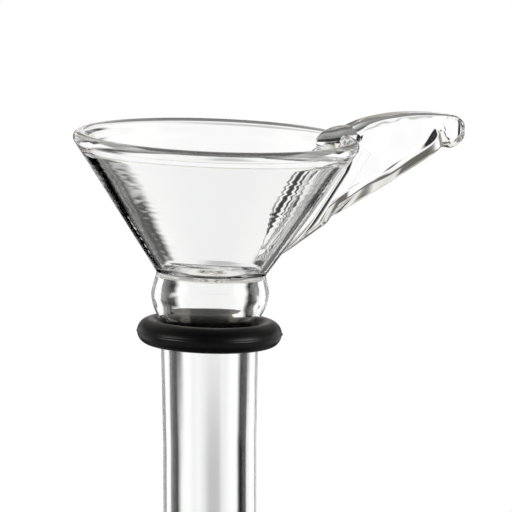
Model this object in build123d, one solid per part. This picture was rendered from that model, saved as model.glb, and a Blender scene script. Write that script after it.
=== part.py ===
"""Lampworked glass funnel with a straight stem, a thumb handle and a rubber ring.

Millimetres, +Z up along the stem. The origin is the middle of the ring's underside, and the
handle points along +X. The head (neck, cone, handle and the ring that lies against it) leans
slightly towards the handle, as hand-made glass does.
"""
import math
import os

from build123d import *

# Stem: drawn borosilicate tube, a little wider where it was worked under the neck
STEM_OD = 9.0
STEM_TOP_OD = 9.4
STEM_WALL = 0.65
STEM_TAPER_LENGTH = 11.0
STEM_REACH = 68.0

# Rubber ring: round cord stretched over the stem, so its inner side is pressed flat
CORD_RADIUS = 1.23
RING_RADIUS = 5.76
RING_CLEARANCE = 0.05
FLASH_HEIGHT = 0.07
FLASH_WIDTH = 0.12

# Head: everything above the ring's middle
HEAD_LEAN = 2.0
SEAM_Z = CORD_RADIUS

# Neck: a hollow bulge, closed at its top by the bowl's floor with its drain hole
NECK_TOP_Z = 7.3
BULGE_RADIUS = 5.68
BULGE_Z = 4.95
BULGE_WALL = 0.75
NECK_OUTSIDE = ((4.84, 2.42), (5.44, 3.75), (BULGE_RADIUS, BULGE_Z), (5.5, 5.95), (5.33, 6.65))
NECK_INSIDE = ((4.18, 2.42), (4.68, 3.75), (BULGE_RADIUS - BULGE_WALL, BULGE_Z))
CAVITY_TOP_RADIUS = 4.62
CAVITY_BEVEL = 0.3
WEB_THICKNESS = 0.5
DRAIN_RADIUS = 1.0

# Cone: constant wall with a fire-polished round lip
CONE_HALF_ANGLE = 34.0
CONE_WALL = 1.3
RIM_RADIUS = 13.76
LIP_Z = 19.74

# Handle: a pressed fin in the XZ plane
FIN_THICKNESS = 3.4
FIN_EDGE_ROUND = 1.1
FIN_TIP_RADIUS = 1.65
FIN_TIP_X = 25.4
FIN_TIP_Z = 20.35
FIN_CROWN = (20.7, 22.28)
FIN_NAPE = (16.0, 21.8)
FIN_HEEL = (24.4, 18.78)
FIN_LOWER_SLOPE = 29.5
FIN_ROOT_Z = 9.0
SADDLE_Z = 21.1
LIP_LAP = 0.3

# Root: where the fin was fused to the hot cone it spreads on both sides
ROOT_FILLET = 2.6
ROOT_INSIDE = 0.6
ROOT_ABOVE_LIP = 0.4

LIP_RADIUS = CONE_WALL / 2
LIP_CENTRE_X = RIM_RADIUS - LIP_RADIUS
WALL_RUN = LIP_RADIUS / math.cos(math.radians(CONE_HALF_ANGLE))
CONE_SLOPE = math.tan(math.radians(CONE_HALF_ANGLE))


def wall_middle(z):
    """Radius of the middle of the cone's wall at height z."""
    return LIP_CENTRE_X - (LIP_Z - z) * CONE_SLOPE


def turned(outline):
    """Solid of revolution about Z from closed edges drawn in the XZ plane."""
    return revolve(Plane.XZ * make_face(outline), Axis.Z)


def lip_point(angle):
    """Point on the lip's round section, angle counted from +X towards +Z."""
    turn = math.radians(angle)
    return (LIP_CENTRE_X + LIP_RADIUS * math.cos(turn), LIP_Z + LIP_RADIUS * math.sin(turn))


def leaned(solid):
    """Tip a piece of the head about the ring's middle, towards the handle."""
    return solid.rotate(Axis((0, 0, SEAM_Z), (0, 1, 0)), HEAD_LEAN)


def funnel_cone():
    outer_tangent = lip_point(-CONE_HALF_ANGLE)
    inner_tangent = lip_point(180 - CONE_HALF_ANGLE)
    outer_foot = (wall_middle(NECK_TOP_Z) + WALL_RUN, NECK_TOP_Z)
    inner_foot = (wall_middle(NECK_TOP_Z) - WALL_RUN, NECK_TOP_Z)
    outline = [
        Line(inner_foot, outer_foot),
        Line(outer_foot, outer_tangent),
        ThreePointArc(outer_tangent, lip_point(90 - CONE_HALF_ANGLE), inner_tangent),
        Line(inner_tangent, inner_foot),
    ]
    return leaned(turned(outline))


def neck_bulge():
    top_radius = wall_middle(NECK_TOP_Z) + WALL_RUN
    stem_radius = STEM_TOP_OD / 2
    bore_radius = stem_radius - STEM_WALL
    cavity_top = NECK_TOP_Z - WEB_THICKNESS
    shoulder = (CAVITY_TOP_RADIUS, cavity_top - CAVITY_BEVEL)
    ceiling = (CAVITY_TOP_RADIUS - CAVITY_BEVEL, cavity_top)
    # Drawn on a little below the seam, where the leaning neck is cut level with the stem
    foot_z = SEAM_Z - stem_radius * math.tan(math.radians(2 * HEAD_LEAN))
    outer = Spline(
        (stem_radius, SEAM_Z), *NECK_OUTSIDE, (top_radius, NECK_TOP_Z),
        tangents=((0, 1), (CONE_SLOPE, 1)))
    inner = Spline((bore_radius, SEAM_Z), *NECK_INSIDE, shoulder, tangents=((0, 1), (-0.4, 1)))
    outline = [
        Line((bore_radius, foot_z), (stem_radius, foot_z)),
        Line((stem_radius, foot_z), (stem_radius, SEAM_Z)),
        outer,
        Line((top_radius, NECK_TOP_Z), (DRAIN_RADIUS, NECK_TOP_Z)),
        Line((DRAIN_RADIUS, NECK_TOP_Z), (DRAIN_RADIUS, cavity_top)),
        Line((DRAIN_RADIUS, cavity_top), ceiling),
        Line(ceiling, shoulder),
        inner,
        Line((bore_radius, SEAM_Z), (bore_radius, foot_z)),
    ]
    return split(leaned(turned(outline)), bisect_by=Plane((0, 0, SEAM_Z)), keep=Keep.TOP)


def stem_tube():
    top_radius = STEM_TOP_OD / 2
    radius = STEM_OD / 2
    taper_z = SEAM_Z - STEM_TAPER_LENGTH
    end_z = STEM_WALL / 2 - STEM_REACH
    outline = [
        Line((top_radius - STEM_WALL, SEAM_Z), (top_radius, SEAM_Z)),
        Line((top_radius, SEAM_Z), (radius, taper_z)),
        Line((radius, taper_z), (radius, end_z)),
        ThreePointArc((radius, end_z), (radius - STEM_WALL / 2, -STEM_REACH), (radius - STEM_WALL, end_z)),
        Line((radius - STEM_WALL, end_z), (radius - STEM_WALL, taper_z)),
        Line((radius - STEM_WALL, taper_z), (top_radius - STEM_WALL, SEAM_Z)),
    ]
    return turned(outline)


def fin_profile(top_run):
    """Closed side view of the handle: top_run are the edges from the tip back to the lip."""
    reach = FIN_HEEL[0] - wall_middle(FIN_ROOT_Z)
    root = (FIN_HEEL[0] - reach, FIN_HEEL[1] - reach * math.tan(math.radians(FIN_LOWER_SLOPE)))
    tip_low = (FIN_TIP_X, FIN_TIP_Z - FIN_TIP_RADIUS)
    tip_top = (FIN_TIP_X, FIN_TIP_Z + FIN_TIP_RADIUS)
    lip_side = (LIP_CENTRE_X - LIP_LAP, LIP_Z)
    edges = [
        Line(root, FIN_HEEL),
        Line(FIN_HEEL, tip_low),
        ThreePointArc(tip_low, (FIN_TIP_X + FIN_TIP_RADIUS, FIN_TIP_Z), tip_top),
    ]
    edges += top_run(tip_top, lip_side)
    edges.append(Line(lip_side, root))
    return Plane.XZ * make_face(edges)


def fin_top(tip_top, lip_side):
    """The fin's arched crown, down to where it laps over the lip."""
    saddle = (lip_side[0], SADDLE_Z)
    return [
        ThreePointArc(tip_top, FIN_CROWN, FIN_NAPE),
        Line(FIN_NAPE, saddle),
        Line(saddle, lip_side),
    ]


def web_top(tip_top, lip_side):
    """A level top just over the lip, which the root's spread stays under."""
    level = LIP_Z + ROOT_ABOVE_LIP
    shoulder = (FIN_TIP_X, level)
    saddle = (lip_side[0], level)
    return [
        Line(tip_top, shoulder),
        Line(shoulder, saddle),
        Line(saddle, lip_side),
    ]


def head_envelope():
    """Everything inside the cone's outer surface and over its lip, which the handle is fused against."""
    outer_tangent = lip_point(-CONE_HALF_ANGLE)
    foot_z = NECK_TOP_Z - WEB_THICKNESS
    foot = (wall_middle(foot_z) + WALL_RUN, foot_z)
    crest = lip_point(90)
    above = FIN_CROWN[1] + CONE_WALL
    outline = [
        Line((0, foot_z), foot),
        Line(foot, outer_tangent),
        ThreePointArc(outer_tangent, lip_point((90 - CONE_HALF_ANGLE) / 2), crest),
        Line(crest, (LIP_CENTRE_X, above)),
        Line((LIP_CENTRE_X, above), (0, above)),
        Line((0, above), (0, foot_z)),
    ]
    return turned(outline)


def handle():
    half = FIN_THICKNESS / 2
    plate = extrude(fin_profile(fin_top), half, both=True)
    outline_edges = [
        edge for edge in plate.edges()
        if math.isclose(abs(edge.center().Y), half) and edge.center().X > LIP_CENTRE_X]
    plate = fillet(outline_edges, FIN_EDGE_ROUND)
    slope = math.radians(CONE_HALF_ANGLE)
    along = (math.sin(slope), 0, math.cos(slope))
    outward = (math.cos(slope), 0, -math.sin(slope))
    foot = (wall_middle(NECK_TOP_Z) + WALL_RUN, 0, NECK_TOP_Z)
    section = Plane(origin=foot, x_dir=outward, z_dir=along)
    wide = half + ROOT_FILLET
    start = -ROOT_INSIDE
    inside = start - CONE_WALL
    outer = start + ROOT_FILLET
    turn = ROOT_FILLET * (1 - math.sqrt(0.5))
    spread = make_face([
        Line((inside, -wide), (start, -wide)),
        ThreePointArc((start, -wide), (start + turn, -half - turn), (outer, -half)),
        Line((outer, -half), (outer, half)),
        ThreePointArc((outer, half), (start + turn, half + turn), (start, wide)),
        Line((start, wide), (inside, wide)),
        Line((inside, wide), (inside, -wide)),
    ])
    root = extrude(section * spread, LIP_Z)
    root = root & extrude(fin_profile(web_top), wide, both=True)
    return leaned((plate + root) - head_envelope())


def o_ring():
    inner = STEM_TOP_OD / 2 + RING_CLEARANCE
    cord = Plane.XZ * Pos(RING_RADIUS, 0) * Circle(CORD_RADIUS)
    flash = Plane.XZ * Pos(RING_RADIUS + CORD_RADIUS / 2, 0) * Rectangle(
        CORD_RADIUS + 2 * FLASH_HEIGHT, FLASH_WIDTH)
    kept = Plane.XZ * Pos(inner, 0) * Rectangle(
        RING_RADIUS, 4 * CORD_RADIUS, align=(Align.MIN, Align.CENTER))
    ring = revolve((cord + flash) & kept, Axis.Z)
    return leaned(Pos(0, 0, SEAM_Z) * ring)


PARTS = {
    "funnel_cone": funnel_cone,
    "neck_bulge": neck_bulge,
    "stem_tube": stem_tube,
    "handle": handle,
    "o_ring": o_ring,
}

os.makedirs("parts", exist_ok=True)
for name, make in PARTS.items():
    export_step(make(), f"parts/{name}.step")
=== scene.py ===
"""Glass funnel: clear lampworked glass and a black rubber ring, in plain bright-field studio light."""
import math

import bmesh
import bpy
import numpy as np
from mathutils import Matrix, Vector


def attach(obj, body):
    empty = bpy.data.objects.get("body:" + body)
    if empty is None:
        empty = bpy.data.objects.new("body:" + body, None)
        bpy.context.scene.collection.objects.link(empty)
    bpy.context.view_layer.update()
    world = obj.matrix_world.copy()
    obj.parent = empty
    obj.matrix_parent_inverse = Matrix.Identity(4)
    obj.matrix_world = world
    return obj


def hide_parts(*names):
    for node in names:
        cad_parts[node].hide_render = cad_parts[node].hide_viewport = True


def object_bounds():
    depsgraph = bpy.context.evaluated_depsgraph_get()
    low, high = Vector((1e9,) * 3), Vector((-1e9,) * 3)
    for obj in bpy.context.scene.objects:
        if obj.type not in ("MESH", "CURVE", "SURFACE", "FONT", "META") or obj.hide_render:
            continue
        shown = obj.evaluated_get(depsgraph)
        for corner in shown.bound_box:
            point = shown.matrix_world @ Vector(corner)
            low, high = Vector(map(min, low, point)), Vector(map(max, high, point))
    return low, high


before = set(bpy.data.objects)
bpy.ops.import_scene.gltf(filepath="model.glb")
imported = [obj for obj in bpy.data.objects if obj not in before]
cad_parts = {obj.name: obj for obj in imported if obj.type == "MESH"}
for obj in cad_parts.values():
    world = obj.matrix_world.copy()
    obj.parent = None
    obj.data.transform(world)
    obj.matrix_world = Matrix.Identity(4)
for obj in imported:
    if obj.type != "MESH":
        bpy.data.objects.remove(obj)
cad_low, cad_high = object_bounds()

MM = 0.001
SEGMENTS = 288
# A rounded corner takes at most this share of either side
CORNER_SHARE = 0.48

# Glass sizes are in millimetres, as in the part's source. The head leans towards the handle about
# the ring's middle, and the cone is tipped a little to one side as well
SEAM_Z = 1.23
HEAD_LEAN = math.radians(2.0)
LEAN_STARTS = 2.0
LEAN_ENDS = 7.0
CONE_TIP = math.radians(1.2)
TIP_STARTS = 4.5
TIP_ENDS = 7.5

STEM_RADIUS = 4.5
STEM_TOP_RADIUS = 4.7
STEM_WALL = 0.65
TAPER_Z = -9.77
STEM_END_Z = -68.0

# The neck's hollow bulge, as (r, z) points, and the cavity inside it
NECK_TOP_Z = 7.03
BULGE_RADIUS = 5.68
BULGE_Z = 4.95
BULGE_WALL = 0.75
NECK_OUTSIDE = (
    (STEM_TOP_RADIUS, SEAM_Z), (4.84, 2.42), (5.44, 3.75), (BULGE_RADIUS, BULGE_Z), (5.5, 5.95), (5.33, 6.6),
    (5.32, 7.0),
)
NECK_INSIDE = (
    (BULGE_RADIUS - BULGE_WALL, BULGE_Z), (4.68, 3.75), (4.18, 2.42), (STEM_TOP_RADIUS - STEM_WALL, SEAM_Z),
)
CAVITY_TOP_RADIUS = 4.3
CAVITY_ROUND = 0.3
CAVITY_SHOULDER_DROP = 0.25
NECK_OUT_OF_ROUND = 0.02
NECK_SHAPED_FROM = 2.0
NECK_SHAPED_OVER = 1.5

# The bowl's floor, with its drain hole and the dish that its edge makes with the wall
FLOOR_Z = 7.3
FLOOR_FLAT_RADIUS = 2.8
WEB_THICKNESS = 0.5
DRAIN_RADIUS = 1.0
DRAIN_ROUND = 0.2
DISH_RISE = 0.2
DISH_SLOPE = ((0.12, DISH_RISE), (0.5, 0.04))

# The cone's wall thickens from its foot up, and once more under the lip
CONE_HALF_ANGLE = math.radians(34)
CONE_OUTSIDE_FOOT_Z = 7.4
CONE_INSIDE_FOOT_Z = 7.8
CONE_WALL_FOOT = 0.75
CONE_WALL_GAIN = 0.2
CONE_WALL_GAIN_HEIGHT = 8.0
LIP_RADIUS = 0.65
LIP_CENTRE = (13.11, 19.74)
LIP_WALL_GAIN = 0.35
LIP_WALL_STARTS = 18.7

# What the maker's tool left on the cone: fine rings inside, and a slow swell on both faces
RIPPLE = 0.0044
RIPPLE_PITCHES = (0.68, 1.07)
RIPPLE_SHARES = (0.7, 0.5)
RIPPLE_SIDE = math.radians(115)
RIPPLE_FOOT_FADE = 1.5
RIPPLE_LIP_FADE = 1.2
SWELL = 0.005
SWELL_PITCH = 3.4
OUTER_PHASE = 0.4
INNER_PHASE = 2.3

# The fin's side outlines as (x, z), from its root inside the wall to where its round tip starts
FIN_TIP = (25.1, 20.35)
FIN_TIP_RADIUS = 1.65
FIN_LOWER = (
    (5.75, 7.8), (6.9, 8.55), (8.8, 9.9), (13.5, 12.75), (18.6, 15.5), (23.6, 18.3), (24.5, 18.75),
    (FIN_TIP[0], FIN_TIP[1] - FIN_TIP_RADIUS),
)
FIN_UPPER = (
    (12.7, 19.8), (13.5, 20.6), (14.6, 21.22), (16.3, 21.78), (18.6, 22.15), (20.9, 22.28), (23.3, 22.2),
    (24.6, 22.08), (FIN_TIP[0], FIN_TIP[1] + FIN_TIP_RADIUS),
)
FIN_CURVE_POINTS = 400
FIN_RINGS = 110
FIN_TIP_RINGS = 40
FIN_CORNER_POINTS = 11
# The tip's last ring keeps this share of its height, so that no two of its points meet
FIN_TIP_CLOSES_TO = 1e-4

# The fin's section. Places along the fin run from 0 at its root to 1 where the tip starts, and what
# was cut or pressed by hand varies along it by waves of (size, rate, phase)
FIN_ROOT_THICKNESS = 3.4
FIN_TIP_THICKNESS = 2.0
THINNING_STARTS = 0.2
CROWN_ROUND = 1.6
TIP_EDGE_ROUND = 0.5
EDGE_ROUND_RATE = 1.2
KEEL_HEIGHT = 1.55
KEEL_HEIGHT_WAVES = ((0.22, 17, 0.6), (0.1, 43, 0.0))
KEEL_SHARE = 0.42
KEEL_SHARE_WAVES = ((0.6, 11, 1.3), (0.2, 29, 0.5))
KEEL_SIDE_ROUND = 1.3
KEEL_EDGE_ROUND = 0.3
KEEL_EVENS_AT = 0.76
KEEL_EVENS_OVER = 0.22
TIP_KEEL_HEIGHT = 0.5
FACE_WAVES = ((0.02, 31, 1.0), (0.012, 57, 0.0))
FACE_WAVES_UP = 1.1
FACE_WAVES_ALONG = 9
FACE_WAVES_START = 0.25
FACE_WAVES_END = 0.97
FACE_WAVES_FADE = 0.2

# The skirt where the fin's root spread over the cone: its rings' heights, and how it widens and thins
FLARE_RINGS = 120
FLARE_SIDE_POINTS = 24
FLARE_RINGS_Z = (8.9, 19.75)
FLARE_FOOT_Z = 8.6
FLARE_FOOT_RUN = 4.5
FLARE_TOP_Z = 19.6
FLARE_TOP_RUN = 2.4
FLARE_WIDTH = 1.8
FLARE_DEPTH = 0.4
FLARE_REACH = 2.4
FLARE_HEEL_Z = 8.7
FLARE_HEEL_SLOPE = 0.55
FLARE_INSIDE = 0.45
FLARE_SKIN = 0.003
FLARE_SINK = 0.06
FLARE_SINK_STARTS = 1.1
FLARE_SINK_RUN = 0.9

# The lobe over the lip: its middle as (x, z), and its radii along, across and through it
LAP_CENTRE = (13.2, 19.65)
LAP_RADII = (2.35, 2.25, 1.35)
LAP_TILT = math.radians(14)

# The ring's cord and the parting line round its outside
RING_RADIUS = 5.76
RING_INNER_RADIUS = 4.75
CORD_RADIUS = 1.23
FLASH_HEIGHT = 0.07
FLASH_SPREAD = 0.05
FLASH_UNEVENNESS = 0.35

# The ground's rings of points, out from under the stem
GROUND_RADII = (5.0, 15.0, 50.0, 120.0, 220.0)

# Camera and lamps, in metres
VIEW_AZIMUTH = math.radians(-25.7)
CAMERA_DISTANCE = 0.410
CAMERA_HEIGHT = 0.0691
TARGET_RIGHT = 0.00449
TARGET_HEIGHT = 0.00863
FRAME_WIDTH = 0.04925
SENSOR_MM = 36.0
CLIP_START = 0.01

FLOOR_LAMP_HEIGHT = 0.7
FLOOR_LAMP_SIZE = 0.5
FLOOR_LAMP_WATTS = 5.0

# The ring's own lamps stand this far round from the view's far side, one on the left and one on the right
RING_LAMP_TURN = math.radians(121)
RING_LAMP_DISTANCE = 0.4
RING_LAMP_HEIGHT = 0.03
RING_LAMP_SIZE = (0.22, 0.03)
RING_LAMP_WATTS = 1.7

# Light levels round the studio, by degrees from the view's far side round to its near side, where the
# camera stands. The left and the right are alike, except in the middle band
NEAR_SIDE = ((129, 0.0), (141, 0.0), (144, 0.4), (155, 0.1), (180, 0.1))
FLANK = ((50, 1.1), (80, 1.0), (83, 0.0), (91, 0.0), (94, 0.8), (126, 0.8)) + NEAR_SIDE
BACKDROP = ((0, 1.02), (8, 1.02), (11, 0.95), (21, 0.95), (26, 1.1)) + FLANK
PANELS = ((0, 1.02), (3, 1.05), (5.5, 1.1), (7.5, 0.0), (22.5, 0.0), (26, 1.1)) + FLANK
MIDDLE_CENTRE = ((0, 0.6), (0.7, 0.63), (1.8, 1.05))
MIDDLE_FLANK = ((50, 1.1), (62, 1.0), (69, 0.0), (96, 0.0), (99, 0.8), (126, 0.8)) + NEAR_SIDE
MIDDLE_LEFT = MIDDLE_CENTRE + ((7.5, 1.05), (11, 0.0), (27.5, 0.0), (29.5, 1.1)) + MIDDLE_FLANK
MIDDLE_RIGHT = MIDDLE_CENTRE + ((5.8, 1.05), (7.2, 0.0), (15.5, 0.0), (18.5, 1.1)) + MIDDLE_FLANK
LOWER_PANELS = (
    (0, 0.84), (2, 1.0), (8.0, 1.05), (10.5, 0.0), (41, 0.0), (46, 1.1), (60, 1.1), (75, 1.0), (79, 0.0),
    (93, 0.0), (97, 0.8), (124, 0.8),
) + NEAR_SIDE
BEAM = (
    (0, 0.95), (5, 0.85), (7, 0.12), (14, 0.1), (20, 0.2), (92, 0.2), (98, 1.3), (122, 1.3), (128, 0.1),
    (180, 0.05),
)
CEILING = ((0, 0.95), (30, 0.8), (100, 0.45), (125, 0.04), (180, 0.04))
TABLE = ((0, 0.2), (22, 0.2), (27, 0.3), (40, 0.35), (50, 0.25), (65, 0.3), (90, 0.75), (180, 0.7))
UNDER_TABLE = ((0, 0.05), (180, 0.05))
WHITE = (1, 1, 1)
WARM = (1.06, 0.98, 0.84)
CREAM = (1.02, 1.0, 0.95)
# Over the backdrop, from the horizon up and then down: the two heights in degrees between which a band
# sets in, its tint, and its light on the left and on the right
BANDS = (
    ((8, 11), WARM, BEAM, BEAM),
    ((19, 26), CREAM, CEILING, CEILING),
    ((4, 2), WHITE, PANELS, PANELS),
    ((-9, -11.5), WHITE, MIDDLE_LEFT, MIDDLE_RIGHT),
    ((-19, -22), WHITE, LOWER_PANELS, LOWER_PANELS),
    ((-27, -31), WHITE, TABLE, TABLE),
    ((-48, -53), WHITE, UNDER_TABLE, UNDER_TABLE),
)

SHARP_ANGLE = math.radians(40)
BOUNCES = 48
TRANSPARENT_BOUNCES = 16


# ---------------------------------------------------------------- curves

def smoothstep(x):
    x = np.clip(x, 0, 1)
    return x * x * (3 - 2 * x)


def waves(place, parts):
    """The sum at a place of sine waves, each given by its size, rate and phase."""
    return sum(size * math.sin(rate * place + phase) for size, rate, phase in parts)


def line(start, end, count):
    """count points from start towards end, without the end."""
    t = np.linspace(0, 1, count, endpoint=False)[:, None]
    return np.array(start) * (1 - t) + np.array(end) * t


def arc(centre, radius, start, end, count):
    """count points of an arc, angles in degrees from +r towards +z, without the last."""
    turn = np.radians(np.linspace(start, end, count, endpoint=False))
    return np.array(centre) + radius * np.column_stack((np.cos(turn), np.sin(turn)))


def smooth_curve(points, count):
    """count points of a Catmull-Rom curve through points, without the last."""
    p = np.array(points, float)
    p = np.vstack((2 * p[0] - p[1], p, 2 * p[-1] - p[-2]))
    out = []
    for u in np.linspace(0, len(p) - 3, count, endpoint=False):
        i = int(u)
        t = u - i
        a, b, c, d = p[i:i + 4]
        out.append(0.5 * (2 * b + (c - a) * t + (2 * a - 5 * b + 4 * c - d) * t ** 2
                          + (3 * b - a - 3 * c + d) * t ** 3))
    return np.array(out)


def point_along(curve, u):
    """The point at u, from 0 to 1, along the rows of a curve."""
    last = len(curve) - 1
    index = min(int(u * last), last - 1)
    share = u * last - index
    return curve[index] * (1 - share) + curve[index + 1] * share


def rounded_polygon(corners, radii, count):
    """The polygon's outline with its corners rounded, count points for each corner and each side."""
    corners = np.array(corners, float)
    starts, ends = [], []
    for i, corner in enumerate(corners):
        back, ahead = corners[i - 1] - corner, corners[(i + 1) % len(corners)] - corner
        reach_back, reach_ahead = np.linalg.norm(back), np.linalg.norm(ahead)
        half_angle = math.acos(np.clip(back @ ahead / (reach_back * reach_ahead), -1, 1)) / 2
        cut = min(radii[i] / math.tan(half_angle), CORNER_SHARE * reach_back, CORNER_SHARE * reach_ahead)
        starts.append(corner + back / reach_back * cut)
        ends.append(corner + ahead / reach_ahead * cut)
    out = []
    for i, corner in enumerate(corners):
        t = np.linspace(0, 1, count, endpoint=False)[:, None]
        out.append(starts[i] * (1 - t) ** 2 + corner * 2 * t * (1 - t) + ends[i] * t ** 2)
        out.append(line(ends[i], starts[(i + 1) % len(corners)], count))
    return np.vstack(out)


def leaned(points, turn):
    """points turned towards the handle about the ring's middle, by one angle or one for each."""
    x, y, z = points[:, 0], points[:, 1], points[:, 2] - SEAM_Z
    return np.column_stack((
        x * np.cos(turn) + z * np.sin(turn), y, SEAM_Z - x * np.sin(turn) + z * np.cos(turn)))


def placed_head(points):
    """The head's points leaned towards the handle and tipped sideways, both easing in up the neck."""
    points = leaned(points, HEAD_LEAN * smoothstep((points[:, 2] - LEAN_STARTS) / (LEAN_ENDS - LEAN_STARTS)))
    turn = CONE_TIP * smoothstep((points[:, 2] - TIP_STARTS) / (TIP_ENDS - TIP_STARTS))
    x, y, z = points[:, 0], points[:, 1], points[:, 2] - NECK_TOP_Z
    return np.column_stack((
        x, y * np.cos(turn) - z * np.sin(turn), NECK_TOP_Z + y * np.sin(turn) + z * np.cos(turn)))


# ---------------------------------------------------------------- meshes

def new_object(name, vertices, faces):
    """A smooth-shaded mesh object from millimetre vertices."""
    mesh = bpy.data.meshes.new(name)
    mesh.from_pydata([tuple(v) for v in np.asarray(vertices) * MM], [], faces)
    mesh.validate()
    mesh.shade_smooth()
    piece = bpy.data.objects.new(name, mesh)
    bpy.context.scene.collection.objects.link(piece)
    return piece


def turned_points(r, z, theta):
    """Points round the axis from a grid of radii and heights, with one column for each theta."""
    return np.column_stack(((r * np.cos(theta)).ravel(), (r * np.sin(theta)).ravel(), z.ravel()))


def grid_faces(rows, columns, close_rows=True):
    """Quads of a rows x columns grid of vertices that closes around its columns."""
    faces = []
    for i in range(rows if close_rows else rows - 1):
        j = (i + 1) % rows
        for k in range(columns):
            m = (k + 1) % columns
            faces.append((i * columns + k, i * columns + m, j * columns + m, j * columns + k))
    return faces


def lofted(name, rings):
    """A closed piece of the head through rings of points, capped at both ends."""
    rows, columns = len(rings), len(rings[0])
    last = (rows - 1) * columns
    faces = grid_faces(rows, columns, close_rows=False)
    faces.append(tuple(range(columns - 1, -1, -1)))
    faces.append(tuple(range(last, last + columns)))
    return new_object(name, placed_head(np.vstack(rings)), faces)


def fix_normals(piece):
    """Turn all of a closed mesh's faces outwards."""
    mesh = bmesh.new()
    mesh.from_mesh(piece.data)
    bmesh.ops.recalc_face_normals(mesh, faces=mesh.faces)
    mesh.to_mesh(piece.data)
    mesh.free()


def fuse(body, added):
    """Join added into body, as one closed mesh."""
    for piece in (body, added):
        fix_normals(piece)
    union = body.modifiers.new("union", "BOOLEAN")
    union.operation = "UNION"
    union.solver = "MANIFOLD"
    union.object = added
    graph = bpy.context.evaluated_depsgraph_get()
    mesh = bpy.data.meshes.new_from_object(body.evaluated_get(graph))
    body.modifiers.clear()
    body.data = mesh
    bpy.data.objects.remove(added)
    body.data.shade_smooth()


# ---------------------------------------------------------------- turned glass

def cone_radius(z, side=1):
    """Radius of the cone's outer face at height z, or with side -1 its inner face."""
    middle = LIP_CENTRE[0] - (LIP_CENTRE[1] - z) * math.tan(CONE_HALF_ANGLE)
    outer = middle + LIP_RADIUS / math.cos(CONE_HALF_ANGLE)
    if side > 0:
        return outer
    lip_z = LIP_CENTRE[1] + LIP_RADIUS * math.sin(CONE_HALF_ANGLE)
    wall = (CONE_WALL_FOOT + CONE_WALL_GAIN * smoothstep((z - NECK_TOP_Z) / CONE_WALL_GAIN_HEIGHT)
            + LIP_WALL_GAIN * smoothstep((z - LIP_WALL_STARTS) / (lip_z - LIP_WALL_STARTS)))
    return outer - wall / math.cos(CONE_HALF_ANGLE)


def cone_line(start_z, end_z, count, side=1):
    """count points along one of the cone's faces."""
    z = np.linspace(start_z, end_z, count, endpoint=False)
    return np.column_stack((cone_radius(z, side), z))


def glass_profile():
    """The wall's closed section as (r, z) rows, and the name of each row's stretch."""
    half_angle = math.degrees(CONE_HALF_ANGLE)
    tangent_rise = LIP_RADIUS * math.sin(CONE_HALF_ANGLE)
    stem_bore = STEM_RADIUS - STEM_WALL
    top_bore = STEM_TOP_RADIUS - STEM_WALL
    tip_z = STEM_END_Z + STEM_WALL / 2
    web_z = FLOOR_Z - WEB_THICKNESS
    drain_edge = DRAIN_RADIUS + DRAIN_ROUND
    floor_edge = cone_radius(FLOOR_Z + DISH_RISE, -1)
    neck = NECK_OUTSIDE + ((cone_radius(CONE_OUTSIDE_FOOT_Z), CONE_OUTSIDE_FOOT_Z),)
    dish = [(cone_radius(CONE_INSIDE_FOOT_Z, -1), CONE_INSIDE_FOOT_Z)]
    dish += [(floor_edge - inwards, FLOOR_Z + rise) for inwards, rise in DISH_SLOPE]
    dish += [(FLOOR_FLAT_RADIUS, FLOOR_Z), (drain_edge, FLOOR_Z)]
    cavity = ((CAVITY_TOP_RADIUS + CAVITY_ROUND, web_z - CAVITY_SHOULDER_DROP),) + NECK_INSIDE
    sections = [
        ("stem", line((STEM_RADIUS, tip_z), (STEM_RADIUS, TAPER_Z), 60)),
        ("stem", line((STEM_RADIUS, TAPER_Z), (STEM_TOP_RADIUS, SEAM_Z), 16)),
        ("neck", smooth_curve(neck, 48)),
        ("outer", cone_line(CONE_OUTSIDE_FOOT_Z, LIP_CENTRE[1] - tangent_rise, 190)),
        ("lip", arc(LIP_CENTRE, LIP_RADIUS, -half_angle, 180 - half_angle, 24)),
        ("inner", cone_line(LIP_CENTRE[1] + tangent_rise, CONE_INSIDE_FOOT_Z, 210, -1)),
        ("floor", smooth_curve(dish, 20)),
        ("drain", arc((drain_edge, FLOOR_Z - DRAIN_ROUND), DRAIN_ROUND, 90, 180, 5)),
        ("drain", line((DRAIN_RADIUS, FLOOR_Z - DRAIN_ROUND), (DRAIN_RADIUS, web_z + DRAIN_ROUND), 3)),
        ("drain", arc((drain_edge, web_z + DRAIN_ROUND), DRAIN_ROUND, 180, 270, 5)),
        ("web", line((drain_edge, web_z), (CAVITY_TOP_RADIUS, web_z), 8)),
        ("cavity", arc((CAVITY_TOP_RADIUS, web_z - CAVITY_ROUND), CAVITY_ROUND, 90, 10, 8)),
        ("cavity", smooth_curve(cavity, 30)),
        ("bore", line((top_bore, SEAM_Z), (stem_bore, TAPER_Z), 16)),
        ("bore", line((stem_bore, TAPER_Z), (stem_bore, tip_z), 60)),
        ("tip", arc((STEM_RADIUS - STEM_WALL / 2, tip_z), STEM_WALL / 2, 180, 360, 10)),
    ]
    rows = np.vstack([points for _, points in sections])
    labels = np.concatenate([[name] * len(points) for name, points in sections])
    return rows, labels


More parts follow.
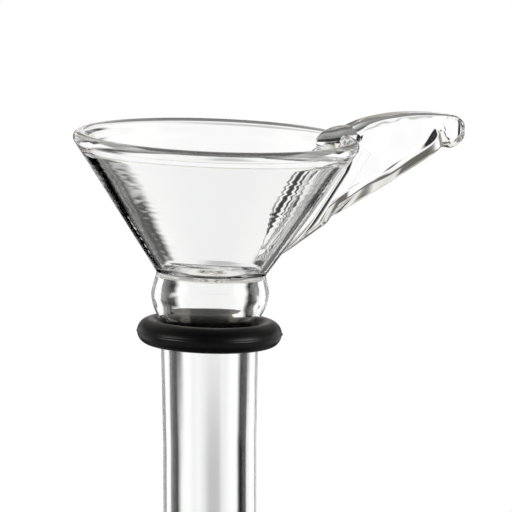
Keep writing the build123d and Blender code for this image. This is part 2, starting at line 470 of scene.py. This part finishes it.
def ripples(s, theta, length, phase):
    """Height of the faint rings that the tool left inside the cone, s along its wall."""
    fade = smoothstep(s / RIPPLE_FOOT_FADE) * smoothstep((length - s) / RIPPLE_LIP_FADE)
    # The rings wander up and down and vary in strength, as marks made by hand do
    drift = 0.9 * np.sin(theta + phase) + 0.5 * np.sin(2 * theta - 1.7 * phase)
    drift = drift + 0.9 * np.sin(1.7 * s + theta)
    strength = 0.7 + 0.5 * np.sin(3 * theta + 1.9 * s + phase) * np.cos(2 * theta - 2.7 * s)
    # The tool pressed most on two sides across from each other
    marked = 0.2 + 0.8 * np.cos(theta + RIPPLE_SIDE) ** 2
    rings = (RIPPLE_SHARES[0] * np.sin(2 * math.pi * s / RIPPLE_PITCHES[0] + drift)
             + RIPPLE_SHARES[1] * np.sin(2 * math.pi * s / RIPPLE_PITCHES[1] - drift))
    return fade * marked * RIPPLE * rings * strength


def swell(s, theta, phase):
    """Height of the slow unevenness of either face, s along the wall."""
    return SWELL * np.sin(2 * math.pi * s / SWELL_PITCH + 0.8 * np.sin(theta + phase) + phase)


def lathed_glass():
    """Stem, neck and cone as one closed wall, with the small unevenness of hand-turned glass."""
    rows, labels = glass_profile()
    theta = np.linspace(0, 2 * math.pi, SEGMENTS, endpoint=False)
    r = rows[:, 0][:, None] + np.zeros(SEGMENTS)
    z = rows[:, 1][:, None] + np.zeros(SEGMENTS)
    length = (LIP_CENTRE[1] - NECK_TOP_Z) / math.cos(CONE_HALF_ANGLE)
    for name, sign, phase in (("outer", 1, OUTER_PHASE), ("inner", -1, INNER_PHASE)):
        chosen = labels == name
        s = (rows[chosen, 1][:, None] - NECK_TOP_Z) / math.cos(CONE_HALF_ANGLE)
        height = sign * swell(s, theta[None, :], phase)
        if name == "inner":
            height = height + ripples(s, theta[None, :], length, phase)
        r[chosen] += height * math.cos(CONE_HALF_ANGLE)
        z[chosen] -= height * math.sin(CONE_HALF_ANGLE)
    # The neck's bulge was shaped by hand, so it isn't quite round
    neck = np.isin(labels, ("neck", "cavity"))
    shaped = smoothstep((z[neck] - NECK_SHAPED_FROM) / NECK_SHAPED_OVER)
    r[neck] += NECK_OUT_OF_ROUND * np.sin(2 * theta + 0.5)[None, :] * shaped
    return new_object("glass_body", placed_head(turned_points(r, z, theta)), grid_faces(len(rows), SEGMENTS))


# ---------------------------------------------------------------- handle

def fin_section(u, half_height):
    """The fin's section at u as (across, up) rows: round along the crown, bevelled along the keel."""
    thinned = smoothstep((u - THINNING_STARTS) / (1 - THINNING_STARTS))
    thickness = FIN_ROOT_THICKNESS + (FIN_TIP_THICKNESS - FIN_ROOT_THICKNESS) * thinned
    crown_round = CROWN_ROUND + (TIP_EDGE_ROUND - CROWN_ROUND) * smoothstep(EDGE_ROUND_RATE * u)
    # The keel's height and flat edge vary, until they even out before the tip
    evened = smoothstep((u - KEEL_EVENS_AT) / KEEL_EVENS_OVER)
    keel = KEEL_HEIGHT * (1 + waves(u, KEEL_HEIGHT_WAVES))
    keel = keel + (TIP_KEEL_HEIGHT - keel) * evened
    share = KEEL_SHARE * (1 + waves(u, KEEL_SHARE_WAVES))
    share = share + (KEEL_SHARE - share) * evened
    side = thickness / 2
    flat = side * share
    corners = [(side, half_height), (-side, half_height), (-side, keel - half_height),
               (-flat, -half_height), (flat, -half_height), (side, keel - half_height)]
    radii = (crown_round, crown_round, KEEL_SIDE_ROUND, KEEL_EDGE_ROUND, KEEL_EDGE_ROUND, KEEL_SIDE_ROUND)
    return rounded_polygon(corners, radii, FIN_CORNER_POINTS)


def fin():
    """The pressed fin, from inside the cone's wall to its round tip."""
    lower, upper = smooth_curve(FIN_LOWER, FIN_CURVE_POINTS), smooth_curve(FIN_UPPER, FIN_CURVE_POINTS)
    rings = []
    for u in np.linspace(0, 1, FIN_RINGS):
        low, high = point_along(lower, u), point_along(upper, u)
        middle, half_height = (low + high) / 2, np.linalg.norm(high - low) / 2
        up = (high - low) / (2 * half_height)
        section = fin_section(u, half_height)
        # Its pressed faces are a little uneven, away from the root and the tip
        wave = waves(u, FACE_WAVES) * smoothstep((u - FACE_WAVES_START) / FACE_WAVES_FADE)
        wave = wave * smoothstep((FACE_WAVES_END - u) / FACE_WAVES_FADE)
        across = section[:, 0] * (1 + wave * np.cos(FACE_WAVES_UP * section[:, 1] + FACE_WAVES_ALONG * u))
        rings.append(np.column_stack((
            middle[0] + section[:, 1] * up[0], across, middle[1] + section[:, 1] * up[1])))
    end_section = section
    for turn in np.radians(np.linspace(0, 90, FIN_TIP_RINGS)[1:]):
        reach = FIN_TIP_RADIUS * math.sin(turn)
        # Its height closes to a rounded end, and its sides draw in only over the last of it
        bite = max(TIP_EDGE_ROUND - (FIN_TIP_RADIUS - reach), 0)
        drawn_in = TIP_EDGE_ROUND - math.sqrt(TIP_EDGE_ROUND ** 2 - bite ** 2)
        closing = max(math.cos(turn), FIN_TIP_CLOSES_TO)
        section = end_section * (1 - 2 * drawn_in / FIN_TIP_THICKNESS, closing)
        rings.append(np.column_stack((
            np.full(len(section), FIN_TIP[0] + reach), section[:, 0], FIN_TIP[1] + section[:, 1])))
    return lofted("fin", rings)


def root_flare():
    """Where the fin's root spread over the hot cone: a skirt that thins away from both its sides."""
    slope = (math.cos(CONE_HALF_ANGLE), -math.sin(CONE_HALF_ANGLE))
    half = FIN_ROOT_THICKNESS / 2
    rings = []
    for z in np.linspace(*FLARE_RINGS_Z, FLARE_RINGS):
        width = FLARE_WIDTH * smoothstep((z - FLARE_FOOT_Z) / FLARE_FOOT_RUN)
        width = width * smoothstep((FLARE_TOP_Z - z) / FLARE_TOP_RUN)
        reach = min(FLARE_REACH, FLARE_HEEL_SLOPE * (z - FLARE_HEEL_Z))
        out = np.linspace(0, reach, FLARE_SIDE_POINTS)
        # Past its spread it sinks into the fin's sides, so that the two meet without a step
        sunk = FLARE_SINK * smoothstep((out - FLARE_SINK_STARTS) / FLARE_SINK_RUN)
        side = half - FLARE_SKIN + width * np.exp(-out / FLARE_DEPTH) - sunk
        out = np.concatenate(([-FLARE_INSIDE], out, out[::-1], [-FLARE_INSIDE]))
        across = np.concatenate(([side[0]], side, -side[::-1], [-side[0]]))
        rings.append(np.column_stack((cone_radius(z) + out * slope[0], across, z + out * slope[1])))
    return lofted("flare", rings)


def lap():
    """Where the fin's hot end was pressed over the lip: a rounded lobe, with nothing sharp."""
    rows, columns = 38, 64
    down = np.linspace(0, math.pi, rows + 2)[1:-1]
    around = np.linspace(0, 2 * math.pi, columns, endpoint=False)
    along = LAP_RADII[0] * np.outer(np.cos(down), np.ones(columns))
    across = LAP_RADII[1] * np.outer(np.sin(down), np.cos(around))
    rise = LAP_RADII[2] * np.outer(np.sin(down), np.sin(around))
    lobe = np.column_stack((along.ravel(), across.ravel(), rise.ravel()))
    lobe = np.vstack((lobe, (LAP_RADII[0], 0, 0), (-LAP_RADII[0], 0, 0)))
    points = np.column_stack((
        LAP_CENTRE[0] + lobe[:, 0] * math.cos(LAP_TILT) - lobe[:, 2] * math.sin(LAP_TILT),
        lobe[:, 1],
        LAP_CENTRE[1] + lobe[:, 0] * math.sin(LAP_TILT) + lobe[:, 2] * math.cos(LAP_TILT)))
    faces = grid_faces(rows, columns, close_rows=False)
    outer_pole, inner_pole = rows * columns, rows * columns + 1
    last_row = (rows - 1) * columns
    for k in range(columns):
        m = (k + 1) % columns
        faces.append((outer_pole, m, k))
        faces.append((inner_pole, last_row + k, last_row + m))
    return new_object("lap", placed_head(points), faces)


# ---------------------------------------------------------------- rubber ring

def rubber_ring():
    """Round cord pressed flat on its inner side, with a fine parting line around its outside."""
    rows = 72
    turn = np.linspace(0, 2 * math.pi, rows, endpoint=False)
    theta = np.linspace(0, 2 * math.pi, SEGMENTS, endpoint=False)
    flash = FLASH_HEIGHT * np.exp(-(np.sin(turn) / FLASH_SPREAD) ** 2) * (np.cos(turn) > 0)
    uneven = 1 + FLASH_UNEVENNESS * np.sin(5 * theta + 1) * np.sin(2 * theta)
    r = RING_RADIUS + CORD_RADIUS * np.cos(turn)[:, None] + flash[:, None] * uneven[None, :]
    r = np.maximum(r, RING_INNER_RADIUS)
    z = SEAM_Z + CORD_RADIUS * np.sin(turn)[:, None] + np.zeros(SEGMENTS)
    points = leaned(turned_points(r, z, theta), HEAD_LEAN)
    ring = new_object("rubber_ring", points, grid_faces(rows, SEGMENTS))
    fix_normals(ring)
    return ring


# ---------------------------------------------------------------- materials

def new_material(name):
    """A new material, with its node tree and its shader."""
    material = bpy.data.materials.new(name)
    material.use_nodes = True
    return material, material.node_tree, material.node_tree.nodes["Principled BSDF"]


def noise(tree, scale, detail=2):
    """A noise pattern over the piece's own coordinates, from 0 to 1."""
    place = tree.nodes.new("ShaderNodeTexCoord")
    texture = tree.nodes.new("ShaderNodeTexNoise")
    texture.inputs["Scale"].default_value = scale
    texture.inputs["Detail"].default_value = detail
    tree.links.new(place.outputs["Object"], texture.inputs["Vector"])
    return texture.outputs["Fac"]


def mottle(tree, shader, pattern, dark, pale):
    """Colour the shader between two shades by a pattern."""
    shade = tree.nodes.new("ShaderNodeValToRGB")
    for stop, colour in zip(shade.color_ramp.elements, (dark, pale)):
        stop.color = (*colour, 1)
    tree.links.new(pattern, shade.inputs["Fac"])
    tree.links.new(shade.outputs["Color"], shader.inputs["Base Color"])


def roughen(tree, shader, pattern, strength, distance):
    """Bump the shader's surface by a pattern, distance in metres."""
    bump = tree.nodes.new("ShaderNodeBump")
    bump.inputs["Strength"].default_value = strength
    bump.inputs["Distance"].default_value = distance
    tree.links.new(pattern, bump.inputs["Height"])
    tree.links.new(bump.outputs["Normal"], shader.inputs["Normal"])


def glass_material():
    """Clear borosilicate, with the faint waviness of drawn and worked tube."""
    material, tree, shader = new_material("clear_borosilicate")
    shader.inputs["Base Color"].default_value = (0.99, 0.995, 0.99, 1)
    shader.inputs["Transmission Weight"].default_value = 1
    shader.inputs["Roughness"].default_value = 0
    shader.inputs["IOR"].default_value = 1.473
    roughen(tree, shader, noise(tree, scale=260, detail=1), strength=0.05, distance=0.0002)
    return material


def rubber_material():
    """Black rubber with a fine grain and a faint, patchy bloom."""
    material, tree, shader = new_material("black_rubber")
    shader.inputs["IOR"].default_value = 1.5
    shader.inputs["Specular IOR Level"].default_value = 0.12
    bloom = noise(tree, scale=420, detail=4)
    mottle(tree, shader, bloom, dark=(0.001, 0.001, 0.001), pale=(0.0035, 0.0035, 0.004))
    gloss = tree.nodes.new("ShaderNodeMapRange")
    gloss.inputs["To Min"].default_value = 0.3
    gloss.inputs["To Max"].default_value = 0.4
    tree.links.new(bloom, gloss.inputs["Value"])
    tree.links.new(gloss.outputs["Result"], shader.inputs["Roughness"])
    roughen(tree, shader, noise(tree, scale=9000, detail=3), strength=0.25, distance=0.00002)
    return material


def floor_material():
    """A matt, pale floor, very slightly mottled."""
    material, tree, shader = new_material("pale_floor")
    shader.inputs["Roughness"].default_value = 0.8
    mottle(tree, shader, noise(tree, scale=30), dark=(0.86, 0.86, 0.86), pale=(0.9, 0.9, 0.9))
    return material


# ---------------------------------------------------------------- studio

def studio_light():
    """World light: white to the camera, and bright stretches and dark panels to the glass."""
    world = bpy.data.worlds.new("studio")
    bpy.context.scene.world = world
    world.use_nodes = True
    nodes, links = world.node_tree.nodes, world.node_tree.links
    nodes.clear()

    def math_node(operation, *values):
        node = nodes.new("ShaderNodeMath")
        node.operation = operation
        for socket, value in zip(node.inputs, values):
            if isinstance(value, (int, float)):
                socket.default_value = value
            else:
                links.new(value, socket)
        return node.outputs[0]

    def mix(share, first, second):
        """first, giving way to second as share goes from 0 to 1."""
        mixed = nodes.new("ShaderNodeMixRGB")
        links.new(share, mixed.inputs["Fac"])
        links.new(first, mixed.inputs["Color1"])
        links.new(second, mixed.inputs["Color2"])
        return mixed.outputs["Color"]

    place = nodes.new("ShaderNodeTexCoord")
    turned = nodes.new("ShaderNodeVectorRotate")
    turned.rotation_type = "Z_AXIS"
    turned.inputs["Angle"].default_value = -VIEW_AZIMUTH
    split = nodes.new("ShaderNodeSeparateXYZ")
    links.new(place.outputs["Generated"], turned.inputs["Vector"])
    links.new(turned.outputs["Vector"], split.inputs["Vector"])
    angle = math_node("ARCTAN2", split.outputs["X"], split.outputs["Y"])
    share_round = math_node("DIVIDE", math_node("ABSOLUTE", angle), math.pi)
    on_right = math_node("GREATER_THAN", split.outputs["X"], 0.0)

    def ring_of_light(stops, tint):
        """Light round the horizon, from stops of degrees and level."""
        levels = nodes.new("ShaderNodeValToRGB")
        ramp = levels.color_ramp
        while len(ramp.elements) > 1:
            ramp.elements.remove(ramp.elements[-1])
        for index, (degrees, level) in enumerate(stops):
            stop = ramp.elements[0] if index == 0 else ramp.elements.new(degrees / 180)
            stop.position = degrees / 180
            stop.color = (*(level * part for part in tint), 1)
        links.new(share_round, levels.inputs["Fac"])
        return levels.outputs["Color"]

    def from_height(begins, full):
        """From 0 to 1 between two heights in degrees."""
        zone = nodes.new("ShaderNodeMapRange")
        zone.interpolation_type = "SMOOTHSTEP"
        zone.inputs["From Min"].default_value = math.sin(math.radians(begins))
        zone.inputs["From Max"].default_value = math.sin(math.radians(full))
        links.new(split.outputs["Z"], zone.inputs["Value"])
        return zone.outputs["Result"]

    light = ring_of_light(BACKDROP, WHITE)
    for heights, tint, left, right in BANDS:
        band = ring_of_light(left, tint)
        if right != left:
            band = mix(on_right, band, ring_of_light(right, tint))
        light = mix(from_height(*heights), light, band)
    lit = nodes.new("ShaderNodeBackground")
    links.new(light, lit.inputs["Color"])
    seen = nodes.new("ShaderNodeBackground")
    seen.inputs["Color"].default_value = (*WHITE, 1)
    rays = nodes.new("ShaderNodeLightPath")
    choose = nodes.new("ShaderNodeMixShader")
    out = nodes.new("ShaderNodeOutputWorld")
    links.new(rays.outputs["Is Camera Ray"], choose.inputs["Fac"])
    links.new(lit.outputs[0], choose.inputs[1])
    links.new(seen.outputs[0], choose.inputs[2])
    links.new(choose.outputs[0], out.inputs["Surface"])


def floor_lamp():
    """A soft lamp overhead that lights only the floor and the rubber: the glass doesn't see it."""
    data = bpy.data.lights.new("floor_lamp", "AREA")
    data.shape = "DISK"
    data.size = FLOOR_LAMP_SIZE
    data.energy = FLOOR_LAMP_WATTS
    lamp = bpy.data.objects.new("floor_lamp", data)
    lamp.location = (0, 0, FLOOR_LAMP_HEIGHT)
    lamp.visible_glossy = False
    lamp.visible_transmission = False
    bpy.context.scene.collection.objects.link(lamp)


def ring_lamps(ring):
    """Two long low lamps, one on either side in front, that light only the rubber."""
    receivers = bpy.data.collections.new("rubber_only")
    receivers.objects.link(ring)
    for name, side in (("left_lamp", -1), ("right_lamp", 1)):
        turn = VIEW_AZIMUTH + math.pi / 2 - side * RING_LAMP_TURN
        data = bpy.data.lights.new(name, "AREA")
        data.shape = "RECTANGLE"
        data.size, data.size_y = RING_LAMP_SIZE
        data.energy = RING_LAMP_WATTS
        lamp = bpy.data.objects.new(name, data)
        lamp.location = (
            RING_LAMP_DISTANCE * math.cos(turn), RING_LAMP_DISTANCE * math.sin(turn), RING_LAMP_HEIGHT)
        lamp.rotation_euler = (-lamp.location).to_track_quat("-Z", "Y").to_euler()
        lamp.visible_camera = False
        lamp.visible_transmission = False
        lamp.light_linking.receiver_collection = receivers
        bpy.context.scene.collection.objects.link(lamp)


def camera():
    """The camera, a little above the lip, with the handle on its right."""
    right = np.array((math.cos(VIEW_AZIMUTH), math.sin(VIEW_AZIMUTH), 0))
    back = np.array((math.sin(VIEW_AZIMUTH), -math.cos(VIEW_AZIMUTH), 0))
    target = right * TARGET_RIGHT + np.array((0, 0, TARGET_HEIGHT))
    place = right * TARGET_RIGHT + back * CAMERA_DISTANCE + np.array((0, 0, CAMERA_HEIGHT))
    data = bpy.data.cameras.new("camera")
    data.sensor_width = SENSOR_MM
    data.lens = SENSOR_MM * np.linalg.norm(target - place) / FRAME_WIDTH
    data.clip_start = CLIP_START
    view = bpy.data.objects.new("camera", data)
    pitch = math.atan2(CAMERA_HEIGHT - TARGET_HEIGHT, CAMERA_DISTANCE)
    view.location = place
    view.rotation_euler = (math.pi / 2 - pitch, 0, VIEW_AZIMUTH)
    bpy.context.scene.collection.objects.link(view)
    bpy.context.scene.camera = view


def floor():
    """The ground: a pale round floor under the stem's end."""
    columns = 96
    theta = np.linspace(0, 2 * math.pi, columns, endpoint=False)
    r = np.outer(GROUND_RADII, np.ones(columns))
    points = turned_points(r, np.full(r.shape, cad_low[2] / MM), theta)
    faces = grid_faces(len(GROUND_RADII), columns, close_rows=False)
    faces.append(tuple(range(columns - 1, -1, -1)))
    ground = new_object("floor", points, faces)
    fix_normals(ground)
    ground.data.materials.append(floor_material())
    ground.visible_glossy = False
    ground.visible_transmission = False


# ---------------------------------------------------------------- putting it together

glass = lathed_glass()
for piece in (fin(), root_flare(), lap()):
    fuse(glass, piece)
glass.data.set_sharp_from_angle(angle=SHARP_ANGLE)
glass.data.materials.clear()
glass.data.materials.append(glass_material())
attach(glass, "funnel")
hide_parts("funnel_cone", "neck_bulge", "stem_tube", "handle")

ring = rubber_ring()
ring.data.materials.append(rubber_material())
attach(ring, "ring")
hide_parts("o_ring")

floor()
studio_light()
floor_lamp()
ring_lamps(ring)
camera()
scene = bpy.context.scene
scene.view_settings.view_transform = "Standard"
scene.cycles.max_bounces = BOUNCES
scene.cycles.transmission_bounces = BOUNCES
scene.cycles.glossy_bounces = BOUNCES
scene.cycles.transparent_max_bounces = TRANSPARENT_BOUNCES
